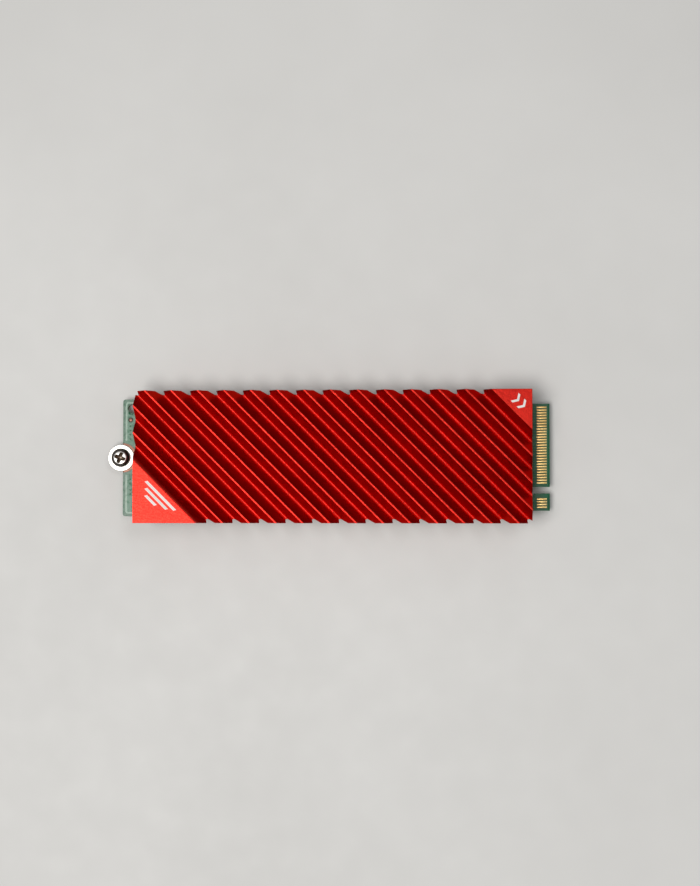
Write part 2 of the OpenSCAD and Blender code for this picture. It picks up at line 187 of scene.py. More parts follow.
def screw_steel(axis_x, under_head, head_top):
    """Nickel plating, with painted shade darkening the inside of the recess and round the head's skirt.
    Places in mm.
    """
    look = Look("screw_steel", (0.6, 0.58, 0.55), 0.34, Metallic=1.0)
    parts = look.node("ShaderNodeSeparateXYZ")
    look.feed(look.place, parts.inputs[0])
    x, z = look.math("SUBTRACT", parts.outputs["X"], axis_x * MM), parts.outputs["Z"]
    out = look.math("SQRT", look.math("ADD", look.math("POWER", x, 2),
                                      look.math("POWER", parts.outputs["Y"], 2)))
    # painted shade: the colour darkens deep inside the cross recess, which is also made rougher
    near = look.spread(out, 1, 0, 1.04 * MM, 1.14 * MM)
    deep = look.spread(z, 1, 0, (head_top - 0.27) * MM, (head_top - 0.07) * MM)
    head = look.math("GREATER_THAN", z, (under_head + 0.11) * MM)
    recess_shade = look.math("MULTIPLY", look.math("MULTIPLY", near, deep), head)
    plating = look.blend(look.spread(look.noise(0.8, 3.0), 0, 1), (0.50, 0.48, 0.45),
                         (0.66, 0.64, 0.61))
    # painted shade: the head's side below its top is darkened in colour as a painted dark reflection
    skirt_shade = look.math("MULTIPLY", look.math("GREATER_THAN", out, 1.18 * MM),
                      look.spread(z, 1, 0, (head_top - 0.09) * MM, (head_top + 0.02) * MM))
    plating = look.blend(look.math("MULTIPLY", skirt_shade, head), plating, (0.15, 0.13, 0.115))
    look.colour(recess_shade, plating, (0.26, 0.21, 0.16))
    look.rough(look.math("ADD", look.noise(0.3, 2.0), look.math("MULTIPLY", recess_shade, 0.4)), 0.28, 0.40)
    look.emboss(look.noise(0.12, 2.0), 0.002)
    return look.material


def moulded(name, dark, light, rough, grain=0.09, depth=0.008, **inputs):
    """Moulded resin, ceramic or film with a fine grain; each lump has its own shade."""
    look = Look(name, light, rough[0], **inputs)
    own = look.math("MULTIPLY", look.each(), 0.5)
    share = look.math("ADD", look.math("MULTIPLY", look.noise(grain * 3, 3.0), 0.5), own)
    look.colour(look.spread(share, 0, 1, 0.15, 0.75), dark, light)
    look.rough(look.noise(grain * 4, 2.0), *rough)
    look.emboss(look.noise(grain, 3.0), depth)
    return look.material


def resistor_black():
    """Glazed black tops over white ceramic sides."""
    look = Look("resistor_black", (0.02, 0.02, 0.022), 0.25)
    top = look.blend(look.noise(0.2), (0.012, 0.012, 0.014), (0.03, 0.03, 0.034))
    look.colour(look.facing_up(), (0.62, 0.60, 0.55), top)
    look.rough(look.noise(0.3), 0.18, 0.34)
    look.emboss(look.noise(0.15), 0.006)
    return look.material


LOOKS = {
    "anodised_red": anodised_red(),
    "solder_mask": solder_mask(),
    "gold": plated("gold", (0.74, 0.48, 0.17), (0.90, 0.66, 0.28), (0.30, 0.40), 0.12, 0.001),
    "copper": plated("copper", (0.30, 0.15, 0.11), (0.44, 0.24, 0.18), (0.48, 0.62), 0.12, 0.006),
    "nickel_steel": plated("nickel_steel", (0.50, 0.48, 0.45), (0.66, 0.64, 0.61), (0.30, 0.42),
                           0.12, 0.002, tarnish=0.8),
    "mould_black": moulded("mould_black", (0.010, 0.010, 0.011), (0.026, 0.026, 0.028), (0.42, 0.62)),
    "substrate_green": moulded("substrate_green", (0.010, 0.045, 0.016), (0.020, 0.085, 0.030),
                               (0.35, 0.5)),
    "solder": plated("solder", (0.48, 0.49, 0.51), (0.74, 0.75, 0.76), (0.22, 0.40), 0.10, 0.006),
    "tin": plated("tin", (0.56, 0.56, 0.55), (0.82, 0.82, 0.80), (0.22, 0.42), 0.08, 0.006),
    "ceramic_tan": moulded("ceramic_tan", (0.20, 0.11, 0.055), (0.42, 0.27, 0.15), (0.34, 0.5), 0.07),
    "ceramic_cream": moulded("ceramic_cream", (0.52, 0.46, 0.34), (0.66, 0.60, 0.48), (0.4, 0.6)),
    "resistor_black": resistor_black(),
    "ferrite_grey": moulded("ferrite_grey", (0.035, 0.035, 0.038), (0.11, 0.11, 0.115), (0.5, 0.7),
                            0.14, 0.014),
    "pad_grey": moulded("pad_grey", (0.22, 0.25, 0.29), (0.34, 0.38, 0.43), (0.7, 0.9), 0.18, 0.02,
                        Subsurface_Weight=0.1, Subsurface_Scale=0.0004),
    "label_white": moulded("label_white", (0.66, 0.67, 0.66), (0.80, 0.81, 0.80), (0.25, 0.38), 0.4,
                           0.004),
    "print_white": moulded("print_white", (0.72, 0.70, 0.66), (0.86, 0.85, 0.82), (0.42, 0.6), 0.1,
                           0.004),
}
MASKED_COPPER = solder_mask("solder_mask_raised", (0.014, 0.130, 0.058), (0.022, 0.180, 0.084))
# Thin mask for the guard line: lighter over copper as thin mask is, and paler still with a painted
# highlight.
THIN_MASK_AND_SHEEN = solder_mask("solder_mask_thin_and_sheen", (0.20, 0.34, 0.25), (0.28, 0.42, 0.32))
BARE_LAMINATE = moulded("bare_laminate", (0.035, 0.030, 0.018), (0.070, 0.060, 0.035), (0.5, 0.65), 0.1,
                        0.004)
LABEL_INK = moulded("label_ink", (0.020, 0.022, 0.026), (0.05, 0.055, 0.06), (0.4, 0.55), 0.2, 0.003)
SILK = moulded("silkscreen", (0.46, 0.45, 0.36), (0.66, 0.65, 0.56), (0.5, 0.7), 0.12, 0.006)


# ------------------------------------------------------------------ mesh helpers

def piece(name, mesh, look, body="drive", replaces=()):
    """A new piece of the visual model that rides on a body and may stand for CAD nodes."""
    made = bpy.data.objects.new(name, mesh)
    scene.collection.objects.link(made)
    mesh.materials.append(look)
    if any(face.use_smooth for face in mesh.polygons):
        made.modifiers.new("normals", "WEIGHTED_NORMAL").keep_sharp = True
    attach(made, body)
    if replaces:
        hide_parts(*replaces)
    return made


def to_mesh(bm, name, sharp=None, scale=MM):
    """Finishes a bmesh drawn in mm. With sharp, it is smooth but for edges bent more than that angle."""
    bmesh.ops.recalc_face_normals(bm, faces=bm.faces)
    bmesh.ops.scale(bm, vec=(scale, scale, scale), verts=bm.verts)
    mesh = bpy.data.meshes.new(name)
    bm.to_mesh(mesh)
    bm.free()
    if sharp:
        mesh.polygons.foreach_set("use_smooth", [True] * len(mesh.polygons))
        mesh.set_sharp_from_angle(angle=math.radians(sharp))
    return mesh


def soften(obj, width, segments=2, angle=30, weld=False):
    """Rounds an object's sharp edges by width mm."""
    if weld:
        merge = obj.modifiers.new("weld", "WELD")
        merge.merge_threshold = 1e-6
    bevel = obj.modifiers.new("bevel", "BEVEL")
    bevel.width = width * MM
    bevel.segments = segments
    bevel.limit_method = "ANGLE"
    bevel.angle_limit = math.radians(angle)
    bevel.harden_normals = not weld
    if weld:
        bevel.face_strength_mode = "FSTR_ALL"
        obj.modifiers.new("normals", "WEIGHTED_NORMAL").use_face_influence = True


def arc(cx, cy, radius, start, end, steps):
    """Points along an arc, in degrees."""
    return [
        (cx + radius * math.cos(math.radians(a)), cy + radius * math.sin(math.radians(a)))
        for a in (start + (end - start) * i / steps for i in range(steps + 1))
    ]


def circle(cx, cy, radius, steps):
    return arc(cx, cy, radius, 0, 360 * (steps - 1) / steps, steps - 1)


def rounded(points, radius, steps=4, closed=False, most=0.49):
    """A line of points with its corners rounded. radius is one number or one for each point."""
    radii = radius if isinstance(radius, (list, tuple)) else [radius] * len(points)
    out = []
    for i, point in enumerate(points):
        p = Vector(point)
        if not closed and i in (0, len(points) - 1) or not radii[i]:
            out.append(tuple(p))
            continue
        a, b = Vector(points[i - 1]) - p, Vector(points[(i + 1) % len(points)]) - p
        half = a.angle(b) / 2
        reach = min(radii[i] / math.tan(half), most * a.length, most * b.length)
        start, end = p + a.normalized() * reach, p + b.normalized() * reach
        for k in range(steps + 1):
            t = k / steps
            out.append(tuple(start * (1 - t) ** 2 + p * 2 * t * (1 - t) + end * t * t))
    return out


def plate(name, outlines, low, high):
    """Mesh of flat shapes between two heights in mm; an outline inside another is a hole."""
    curve = bpy.data.curves.new(name, "CURVE")
    curve.dimensions = "2D"
    curve.fill_mode = "BOTH"
    curve.extrude = (high - low) / 2 * MM
    for outline in outlines:
        spline = curve.splines.new("POLY")
        spline.points.add(len(outline) - 1)
        for point, (x, y) in zip(spline.points, outline):
            point.co = (x * MM, y * MM, 0, 1)
        spline.use_cyclic_u = True
    holder = bpy.data.objects.new(name, curve)
    scene.collection.objects.link(holder)
    mesh = bpy.data.meshes.new_from_object(holder)
    mesh.name = name
    mesh.transform(Matrix.Translation((0, 0, (low + high) / 2 * MM)))
    bpy.data.objects.remove(holder)
    return mesh


def carved(bm, tool, operation):
    """The bmesh that is left when one solid, in mm, is cut by another."""
    both = []
    for part in (bm, tool):
        holder = bpy.data.objects.new("carved", to_mesh(part, "carved", scale=1))
        scene.collection.objects.link(holder)
        both.append(holder)
    cut = both[0].modifiers.new("cut", "BOOLEAN")
    cut.object, cut.operation, cut.solver = both[1], operation, "EXACT"
    graph = bpy.context.evaluated_depsgraph_get()
    done = bmesh.new()
    done.from_mesh(bpy.data.meshes.new_from_object(both[0].evaluated_get(graph)))
    for holder in both:
        bpy.data.objects.remove(holder)
    bmesh.ops.remove_doubles(done, verts=done.verts, dist=2e-4)
    return done


def skin(bm, rings):
    """Faces between each ring of vertices and the next."""
    for a, b in zip(rings, rings[1:]):
        for i in range(len(a)):
            j = (i + 1) % len(a)
            bm.faces.new((a[i], a[j], b[j], b[i]))


def add_lathe(bm, profile, centre, steps):
    """Revolves (radius, height) points about an upright axis; a radius of 0 closes the end."""
    rings = []
    for radius, height in profile:
        if radius < 1e-6:
            rings.append([bm.verts.new((centre[0], centre[1], height))])
        else:
            rings.append([
                bm.verts.new((centre[0] + radius * math.cos(2 * math.pi * i / steps),
                              centre[1] + radius * math.sin(2 * math.pi * i / steps), height))
                for i in range(steps)
            ])
    for a, b in zip(rings, rings[1:]):
        for i in range(steps):
            j = (i + 1) % steps
            corners = {a[i % len(a)]: 0, a[j % len(a)]: 0, b[j % len(b)]: 0, b[i % len(b)]: 0}
            bm.faces.new(list(corners))


def add_strip(bm, points, width, low, high):
    """A raised line of square section along flat points."""
    sides = []
    for i, point in enumerate(points):
        p = Vector(point)
        ahead = Vector(points[i + 1]) - p if i + 1 < len(points) else p - Vector(points[i - 1])
        behind = p - Vector(points[i - 1]) if i else ahead
        ahead, behind = ahead.normalized(), behind.normalized()
        along = (ahead + behind).normalized()
        across = Vector((-along.y, along.x)) * width / 2 / max(0.5, along.dot(ahead))
        sides.append([
            bm.verts.new((p.x + s * across.x, p.y + s * across.y, z))
            for s, z in ((1, low), (1, high), (-1, high), (-1, low))
        ])
    skin(bm, sides)
    bm.faces.new(sides[0])
    bm.faces.new(sides[-1][::-1])


def add_box(bm, low, high):
    corners = [
        bm.verts.new((x, y, z))
        for z in (low[2], high[2]) for y in (low[1], high[1]) for x in (low[0], high[0])
    ]
    for face in ((0, 2, 3, 1), (4, 5, 7, 6), (0, 1, 5, 4), (2, 6, 7, 3), (0, 4, 6, 2), (1, 3, 7, 5)):
        bm.faces.new([corners[i] for i in face])


def islands(node):
    """Boxes, in mm, of the separate lumps of a CAD node, as (lowest, highest) corners."""
    bm = bmesh.new()
    bm.from_mesh(nodes[node].data)
    bmesh.ops.remove_doubles(bm, verts=bm.verts, dist=1e-7)
    seen, found = set(), []
    for start in bm.verts:
        if start in seen:
            continue
        seen.add(start)
        stack, lump = [start], []
        while stack:
            vert = stack.pop()
            lump.append(vert.co / MM)
            for edge in vert.link_edges:
                other = edge.other_vert(vert)
                if other not in seen:
                    seen.add(other)
                    stack.append(other)
        found.append((Vector([min(c[k] for c in lump) for k in range(3)]),
                      Vector([max(c[k] for c in lump) for k in range(3)])))
    bm.free()
    return sorted(found, key=lambda b: tuple(round(c, 3) for c in b[0]))


def box_of(node):
    low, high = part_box(node)
    return low / MM, high / MM


# ------------------------------------------------------------------ heatsink

SINK_LOW, SINK_HIGH = box_of("heatsink")
PRINT_TALL = 0.012               # the print stands this far up from the heatsink's top
SINK_TOP = SINK_HIGH.z - PRINT_TALL
SINK_FOOT = 11.0                 # half the width where it meets the pad
SINK_SIDE = 1.9                  # height of the sides' upright top part
PLAIN_CORNER = 7.2
GROOVES, PITCH, DEPTH = 16, 3.49, 2.6
CORNER = (SINK_HIGH.x, SINK_HIGH.y)
SECTION_START, SECTION_END = 2.0, -75.0   # the section runs past the corners at both ends
HALF_RUN = 60                             # and past the sides
ROOT2 = math.sqrt(2)


def groove_line():
    """The grooved top's section square to the grooves: distance from the plain corner and height."""
    points, radii = [(SECTION_START, SINK_TOP)], [0]
    middle = -(PLAIN_CORNER / ROOT2 + PITCH / 2)
    for i in range(GROOVES):
        lip, curve = (-1.42, 0.8) if i == GROOVES - 1 else (-1.56, 0.16)
        for offset, z, radius in ((1.585, SINK_TOP, 0.10), (0.12, SINK_TOP - DEPTH, 0.06),
                                  (-0.18, SINK_TOP - DEPTH, 0.30), (lip, SINK_TOP, curve)):
            points.append((middle + offset, z))
            radii.append(radius)
        middle -= PITCH
    points.append((SECTION_END, SINK_TOP))
    radii.append(0)
    return rounded(points, radii, 4, most=0.82)


def heatsink():
    section = groove_line() + [(SECTION_END, SINK_LOW.z), (SECTION_START, SINK_LOW.z)]
    bm = bmesh.new()
    ends = []
    for reach in (-HALF_RUN, HALF_RUN):
        ends.append([
            bm.verts.new((CORNER[0] + (s + reach) / ROOT2, CORNER[1] + (s - reach) / ROOT2, z))
            for s, z in section
        ])
    skin(bm, ends)
    bm.faces.new(ends[0][::-1])
    bm.faces.new(ends[1])
    wide, upper = SINK_HIGH.y, SINK_HIGH.z - SINK_SIDE
    half = [(SINK_FOOT, SINK_LOW.z - 1), (SINK_FOOT, upper - (wide - SINK_FOOT)), (wide, upper),
            (wide, SINK_HIGH.z + 1)]
    outline = half + [(-y, z) for y, z in half[::-1]]
    block = bmesh.new()
    caps = [[block.verts.new((x, y, z)) for y, z in outline] for x in (SINK_LOW.x, SINK_HIGH.x)]
    skin(block, caps)
    block.faces.new(caps[0])
    block.faces.new(caps[1][::-1])
    bm = carved(bm, block, "INTERSECT")
    bm.normal_update()
    sides = {f for f in bm.faces if abs(f.normal.x) > 0.99 or abs(f.normal.y) > 0.65}
    rims = [e for e in bm.edges if any(f in sides for f in e.link_faces)
            and max(v.co.z for v in e.verts) > SINK_LOW.z + 0.5 and e.calc_face_angle(0) > 0.3]
    bmesh.ops.bevel(bm, geom=rims, offset=0.07, segments=2, profile=0.5, affect="EDGES",
                    clamp_overlap=False)
    return to_mesh(bm, "heatsink_body", 24)


piece("heatsink_body", heatsink(), LOOKS["anodised_red"], replaces=["heatsink"])


def along(start, run, rise):
    """A point run mm down the grooves' direction and rise mm square to it, towards the corner."""
    return (start[0] + (run + rise) / ROOT2, start[1] + (rise - run) / ROOT2)


def heatsink_prints():
    """Plain white bars on the wide corner and two chevrons on the small one."""
    low, high = SINK_TOP - 0.004, SINK_HIGH.z
    start = (SINK_LOW.x + 2.6, SINK_LOW.y + 8.0)
    bars = []
    for k, (first, last) in enumerate(((0.0, 7.6), (0.9, 6.4), (1.8, 4.4))):
        edge = -k * 0.95
        bars.append([
            along(start, first + 0.3, edge), along(start, last + 0.3, edge),
            along(start, last, edge - 0.5), along(start, first, edge - 0.5)])
    piece("print_bars", plate("print_bars", bars, low, high), LOOKS["print_white"])
    middle = (CORNER[0] - 2.35, CORNER[1] - 2.35)
    chevrons = []
    for shift in (-0.75, 0.75):
        chevrons.append([
            along(middle, shift - 0.5, 1.0), along(middle, shift - 0.02, 1.0),
            along(middle, shift + 0.62, 0.0), along(middle, shift - 0.02, -1.0),
            along(middle, shift - 0.5, -1.0), along(middle, shift + 0.14, 0.0)])
    piece("print_chevrons", plate("print_chevrons", chevrons, low, high), LOOKS["print_white"])


heatsink_prints()


def thermal_pad():
    """A soft slab whose edges bulge and wander a little under the heatsink's weight."""
    low, high = box_of("thermal_pad")
    wander = random.Random(3)
    outline = rounded([(low.x, low.y), (high.x, low.y), (high.x, high.y), (low.x, high.y)], 0.8, 4,
                      closed=True)
    dense = []
    for a, b in zip(outline, outline[1:] + outline[:1]):
        steps = max(1, round(math.dist(a, b) / 0.8))
        dense += [(a[0] + (b[0] - a[0]) * i / steps, a[1] + (b[1] - a[1]) * i / steps)
                  for i in range(steps)]
    centre = (low + high) / 2
    offsets = [wander.uniform(-0.05, 0.05) for _ in dense]
    bm = bmesh.new()
    rings = []
    for share, inset in ((0, 0.12), (0.12, 0.03), (0.35, -0.05), (0.65, -0.07), (0.88, 0.0), (1, 0.10)):
        ring = []
        for (x, y), offset in zip(dense, offsets):
            away = Vector((x - centre.x, (y - centre.y) * 3.5)).normalized()
            step = -inset + offset * (1 - abs(share - 0.5))
            ring.append(bm.verts.new((x + away.x * step, y + away.y * step,
                                      low.z + (high.z - low.z) * share)))
        rings.append(ring)
    skin(bm, rings)
    bm.faces.new(rings[0][::-1])
    bm.faces.new(rings[-1])
    piece("thermal_pad_soft", to_mesh(bm, "thermal_pad_soft", 40), LOOKS["pad_grey"],
          replaces=["thermal_pad"])


thermal_pad()


# ------------------------------------------------------------------ circuit board

BOARD_LOW, BOARD_HIGH = box_of("circuit_board")
SHOULDER = BOARD_HIGH.x - 4.0
HALF_BOARD = 11.0
FACES = {"top": (BOARD_HIGH.z, 1), "bottom": (BOARD_LOW.z, -1)}
HOLE = (BOARD_LOW.x + 1.85, HALF_BOARD - 1.75)
FIDUCIALS = {"top": (BOARD_LOW.x + 1.45, HALF_BOARD - 3.85),
             "bottom": (BOARD_LOW.x + 1.45, -(HALF_BOARD - 3.85))}


def layer(side, low, high):
    """The heights between which a layer of that thickness lies on a face of the board."""
    base, sign = FACES[side]
    return tuple(sorted((base + sign * low, base + sign * high)))


def plane_outline():
    """The copper planes' edge, which keeps clear of the board's edge and of the screw land."""
    left, right, edge = BOARD_LOW.x + 0.45, SHOULDER - 0.55, HALF_BOARD - 0.45
    reach = math.degrees(math.acos(0.45 / 2.95))
    corners = rounded([(left, -2.9), (left, -edge), (right, -edge), (right, edge), (left, edge),
                       (left, 2.9)], [0, 0.35, 0.6, 0.6, 0.35, 0], 4)
    return arc(BOARD_LOW.x, 0, 2.95, reach, -reach, 24) + corners[1:-1]


def guard_line(half):
    """A line just inside the board's edge: along one half of the screw end and that long side."""
    left, edge = BOARD_LOW.x + 0.66, HALF_BOARD - 0.66
    line = [(left, 3.25), (left, edge - 0.25), (left + 0.25, edge), (SHOULDER - 0.7, edge)]
    if half > 0:
        span = math.degrees(math.acos((HOLE[0] - left) / 1.24))
        line[1:1] = arc(*HOLE, 1.24, 180 + span, 180 - span, 6)
    return [(x, half * y) for x, y in line]


def copper_planes():
    """The board's copper planes, standing a hair proud under the mask, and the guard line round them."""
    for side in FACES:
        low, high = layer(side, -0.01, 0.018)
        holes = [circle(*FIDUCIALS[side], 0.5, 32), circle(*HOLE, 1.25, 48)]
        mesh = plate(f"copper_plane_{side}", [plane_outline()] + holes, low, high)
        piece(f"copper_plane_{side}", mesh, MASKED_COPPER)
        bm = bmesh.new()
        for half in (1, -1):
            add_strip(bm, guard_line(half), 0.34, *layer(side, 0.0, 0.034))
        piece(f"guard_line_{side}", to_mesh(bm, f"guard_line_{side}"), THIN_MASK_AND_SHEEN)
        ring = [circle(*FIDUCIALS[side], 0.52, 40), circle(*FIDUCIALS[side], 0.2, 24)]
        piece(f"fiducial_ring_{side}", plate(f"fiducial_ring_{side}", ring, *layer(side, -0.01, 0.006)),
              BARE_LAMINATE)


copper_planes()


def edge_traces():
    """A short trace and a tented via behind each edge contact."""
    for side in FACES:
        bm, rings = bmesh.new(), bmesh.new()
        for i, (low, high) in enumerate(islands(f"edge_contacts_{side}")):
            y = (low.y + high.y) / 2
            reach = (0.55, 1.15, 1.75)[i % 3]
            end = low.x - reach
            bend = 0.12 * (-1) ** i
            add_strip(bm, [(low.x + 0.05, y), (end + 0.35, y), (end + 0.2, y + bend), (end, y + bend)],
                      0.13, *layer(side, -0.005, 0.022))
            base, sign = FACES[side]
            add_lathe(rings, [(0.0, base + sign * 0.012), (0.07, base + sign * 0.014),
                              (0.11, base + sign * 0.032), (0.19, base + sign * 0.034),
                              (0.215, base - sign * 0.004), (0.0, base - sign * 0.004)],
                      (end, y + bend), 16)
        piece(f"edge_traces_{side}", to_mesh(bm, f"edge_traces_{side}"), MASKED_COPPER)
        piece(f"edge_vias_{side}", to_mesh(rings, f"edge_vias_{side}", 50), MASKED_COPPER)


edge_traces()

PARTS = {
    "top": ["controller_mould", "nand_1_mould", "nand_2_mould", "dram_1_mould", "power_manager",
            "load_switch", "crystal_base"],
    "bottom": ["nand_3_mould", "nand_4_mould", "dram_2_mould", "firmware_flash"],
}
GROUPS = {
    "top": ["capacitor_terminals_top", "resistor_terminals_top", "inductor_cores",
            "load_switch_leads"],
    "bottom": ["capacitor_terminals_bottom", "resistor_terminals_bottom", "polymer_capacitors",
               "polymer_capacitor_terminals", "test_pads", "firmware_flash_leads"],
}
TAKEN = {side: [box_of(n) for n in PARTS[side]] + [b for n in GROUPS[side] for b in islands(n)]
         for side in FACES}


def clear_of(side, x, y, gap):
    """True if the place is on the board and gap mm away from every part on that face."""
    if not (BOARD_LOW.x + 1.2 < x < SHOULDER - 1.9 and abs(y) < HALF_BOARD - 1.0):
        return False
    if math.dist((x, y), (BOARD_LOW.x, 0)) < 3.6 or math.dist((x, y), HOLE) < 1.8:
        return False
    if math.dist((x, y), FIDUCIALS[side]) < 1.0:
        return False
    return all(x < low.x - gap or x > high.x + gap or y < low.y - gap or y > high.y + gap
               for low, high in TAKEN[side])


def vias_and_traces():
    """Tented vias in the free places of both faces, some joined by slanting traces."""
    for side in FACES:
        base, sign = FACES[side]
        bm, places = bmesh.new(), []
        lines, drawn = bmesh.new(), []
        for _ in range(2600):
            x = round(rng.uniform(BOARD_LOW.x + 1.2, SHOULDER - 1.8) / 0.4) * 0.4
            y = round(rng.uniform(-10, 10) / 0.4) * 0.4
            if clear_of(side, x, y, 0.3) and all(math.dist((x, y), p) > 0.55 for p in places):
                places.append((x, y))
        for x, y in places:
            add_lathe(bm, [(0.0, base + sign * 0.022), (0.06, base + sign * 0.024),
                           (0.10, base + sign * 0.046), (0.18, base + sign * 0.048),
                           (0.21, base + sign * 0.004), (0.0, base + sign * 0.004)], (x, y), 12)
            run, turn = rng.choice((1.2, 2.0, 2.8)), rng.choice((-1, 1))
            path = [(x, y), (x + run / 2, y), (x + run / 2 + 0.4, y + 0.4 * turn),
                    (x + run + 0.4, y + 0.4 * turn)]
            marks = path + [tuple((Vector(a) + Vector(b)) / 2) for a, b in zip(path, path[1:])]
            if (all(clear_of(side, *p, 0.1) for p in path)
                    and all(math.dist(p, q) > 0.7 for p in marks for q in drawn)):
                add_strip(lines, path, 0.14, *layer(side, 0.0, 0.036))
                drawn += marks
        piece(f"vias_{side}", to_mesh(bm, f"vias_{side}", 50), MASKED_COPPER)
        piece(f"traces_{side}", to_mesh(lines, f"traces_{side}"), MASKED_COPPER)


vias_and_traces()


def silkscreen():
    """White outlines round the larger parts, corner marks round the packages, and dots at pin one."""
    for side in FACES:
        bm = bmesh.new()
        heights = layer(side, 0.0, 0.04)
        boxed = [box_of(n) for n in PARTS[side] if "mould" not in n]
        boxed += [b for n in ("inductor_cores", "polymer_capacitors") if n in GROUPS[side]
                  for b in islands(n)]
        for low, high in boxed:
            g = 0.28
            add_strip(bm, [(low.x - g, low.y - g), (high.x + g, low.y - g)], 0.12, *heights)
            add_strip(bm, [(low.x - g, high.y + g), (high.x + g, high.y + g)], 0.12, *heights)
            base, sign = FACES[side]
            add_lathe(bm, [(0, base + sign * 0.04), (0.16, base + sign * 0.04), (0.16, base), (0, base)],
                      (low.x - g - 0.3, high.y + g), 16)
        for name in PARTS[side]:
            if "mould" in name:
                low, high = box_of(name)
                for sx, x in ((1, low.x - 0.25), (-1, high.x + 0.25)):
                    for sy, y in ((1, low.y - 0.25), (-1, high.y + 0.25)):
                        add_strip(bm, [(x + sx * 1.2, y), (x, y), (x, y + sy * 1.2)], 0.13, *heights)
        piece(f"silkscreen_{side}", to_mesh(bm, f"silkscreen_{side}"), SILK)


silkscreen()


# ------------------------------------------------------------------ soldered parts

def solder_joints(side, groups):
    """A hollow-faced fillet at the outer end of every terminal, thinning out onto the board."""
    base, sign = FACES[side]
    bm = bmesh.new()
    for bodies, terminals in groups:
        middles = [(low + high) / 2 for low, high in islands(bodies)]
        for low, high in islands(terminals):
            centre = (low + high) / 2
            near = min(middles, key=lambda m: (m - centre).length)
            away = centre - near
            axis = 0 if abs(away.x) > abs(away.y) else 1
            out = 1 if away[axis] > 0 else -1
            face = high[axis] if out > 0 else low[axis]
            half = (high[1 - axis] - low[1 - axis]) / 2
            tall = min(0.55 * (high.z - low.z), 0.4)
            reach = 0.55 * tall + 0.12
            rows = []
            for k in range(5):
                t = k / 4
                step, rise = reach * t, tall * (1 - t) ** 2.2 + 0.02
                spread = half * (0.98 - 0.10 * t) + 0.03
                row = []
                for s in (-1, 1):
                    for z in (base, base + sign * rise):
                        spot = [0, 0, z]
                        spot[axis] = face + out * (step - 0.01)
                        spot[1 - axis] = centre[1 - axis] + s * spread
                        row.append(bm.verts.new(spot))
                rows.append(row)
            for a, b in zip(rows, rows[1:]):
                for p, q in ((0, 1), (1, 3), (3, 2), (2, 0)):
                    bm.faces.new((a[p], a[q], b[q], b[p]))
            for row in (rows[0], rows[-1]):
                bm.faces.new((row[0], row[1], row[3], row[2]))
    name = f"solder_joints_{side}"
    piece(name, to_mesh(bm, name, 50), LOOKS["solder"])


solder_joints("top", [("capacitors_top", "capacitor_terminals_top"),
                      ("resistors_top", "resistor_terminals_top")])
solder_joints("bottom", [("capacitors_bottom", "capacitor_terminals_bottom"),
                         ("resistors_bottom", "resistor_terminals_bottom")])


def solder_balls(node):
    """Squashed balls in place of a package's plain solder posts."""
    bm = bmesh.new()
    for low, high in islands(node):
        radius, tall = (high.x - low.x) / 2, high.z - low.z
        centre = (low + high) / 2
        profile = [(0.0, low.z)]
        for k in range(7):
            t = k / 6
            profile.append((radius * (0.74 + 0.26 * math.sin(math.pi * t)), low.z + tall * t))
        profile.append((0.0, high.z))
        add_lathe(bm, profile, (centre.x, centre.y), 10)
    piece(f"{node}_round", to_mesh(bm, f"{node}_round", 60), LOOKS["solder"],
          replaces=[node])


for package in ("controller", "nand_1", "nand_2", "nand_3", "nand_4", "dram_1", "dram_2"):
    solder_balls(f"{package}_balls")


def package_marks():
    """A plain stripe at one end of each polymer capacitor, and a bar on the flash."""
    bm = bmesh.new()
    for low, high in islands("polymer_capacitors"):
        add_box(bm, (low.x + 0.25, low.y + 0.12, low.z - 0.008), (low.x + 0.75, high.y - 0.12, low.z))
    low, high = box_of("firmware_flash")
    add_box(bm, (low.x + 0.5, low.y + 0.5, low.z - 0.008), (high.x - 0.5, low.y + 0.62, low.z))
    piece("part_marks_bottom", to_mesh(bm, "part_marks_bottom"), SILK)


package_marks()


# ------------------------------------------------------------------ label

def label():
    """The film label, its dark header and rules, and a row of plain bars of no code."""
    low, high = box_of("rear_label")
    film = rounded([(low.x, low.y), (high.x, low.y), (high.x, high.y), (low.x, high.y)], 0.8, 6, True)
    made = piece("label_film", plate("label_film", [film], 0.012, high.z), LOOKS["label_white"],
                 replaces=["rear_label"])
    soften(made, 0.02, 1)
    shapes = []

    def block(x0, y0, x1, y1, radius=0.0):
        corners = [(low.x + x0, low.y + y0), (low.x + x1, low.y + y0),
                   (low.x + x1, low.y + y1), (low.x + x0, low.y + y1)]
        shapes.append(rounded(corners, radius, 4, True) if radius else corners)

    block(1.2, 1.2, 5.4, 17.4, 0.5)
    for y in (5.2, 9.3, 13.4):
        block(7.0, y, 24.0, y + 0.12)
    block(7.0, 14.6, 16.5, 16.0, 0.3)
    x = 27.0
    bars = random.Random(11)
    while x < 40.4:
        wide = bars.choice((0.14, 0.22, 0.34, 0.46))
        block(x, 11.6, x + wide, 17.2)
        x += wide + bars.choice((0.16, 0.26, 0.38))
    for row in range(3):
        block(27.0, 2.0 + row * 2.6, 34.0 + 2.6 * (row % 2), 3.2 + row * 2.6, 0.2)
    piece("label_print", plate("label_print", shapes, 0.0, 0.014), LABEL_INK)


label()


# ------------------------------------------------------------------ screw and washer

WASHER_LOW, WASHER_HIGH = box_of("captive_washer")
SCREW_LOW, SCREW_HIGH = box_of("retaining_screw")
AXIS = ((WASHER_LOW.x + WASHER_HIGH.x) / 2, 0.0)
UNDER_HEAD = WASHER_HIGH.z
HEAD_TALL = SCREW_HIGH.z - UNDER_HEAD


